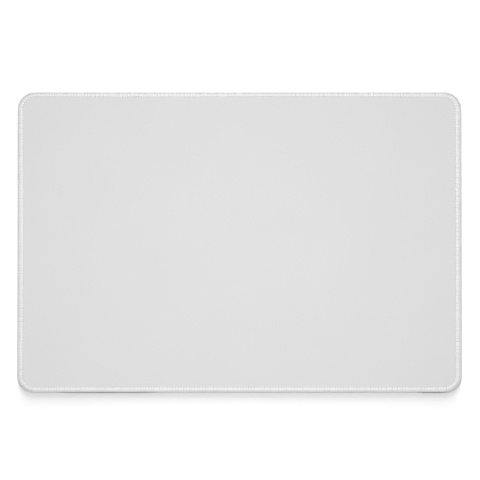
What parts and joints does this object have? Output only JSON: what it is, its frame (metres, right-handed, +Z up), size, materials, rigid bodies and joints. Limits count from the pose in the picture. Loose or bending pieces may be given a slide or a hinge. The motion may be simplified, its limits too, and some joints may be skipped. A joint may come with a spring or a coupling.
{
  "type": "mouse pad",
  "caption": "Flat rectangular soft mouse pad with rounded corners: light grey knitted cloth on a black foam rubber base, with a thick white overlocked edge.",
  "frame": {"origin": "centre of the pad's underside, on the desk it lies on", "axes": "+X along the long sides, +Y along the short sides towards the top of the picture, +Z up out of the cloth face"},
  "size_m": [0.3, 0.205, 0.0034],
  "materials": {
    "face_cloth": "matt light grey polyester knit with a very fine even grain",
    "bonding_film": "milky melted adhesive film, hidden inside the pad",
    "foam_rubber": "black closed-cell foam rubber with a fine anti-slip relief underneath",
    "seam_thread": "white bulky polyester yarn, matt with a slight sheen"
  },
  "bodies": {
    "root": {"face_cloth": "face_cloth", "bonding_film": "bonding_film", "foam_base": "foam_rubber", "upper_looper_thread": "seam_thread", "lower_looper_thread": "seam_thread", "needle_thread": "seam_thread"}
  },
  "joints": []
}
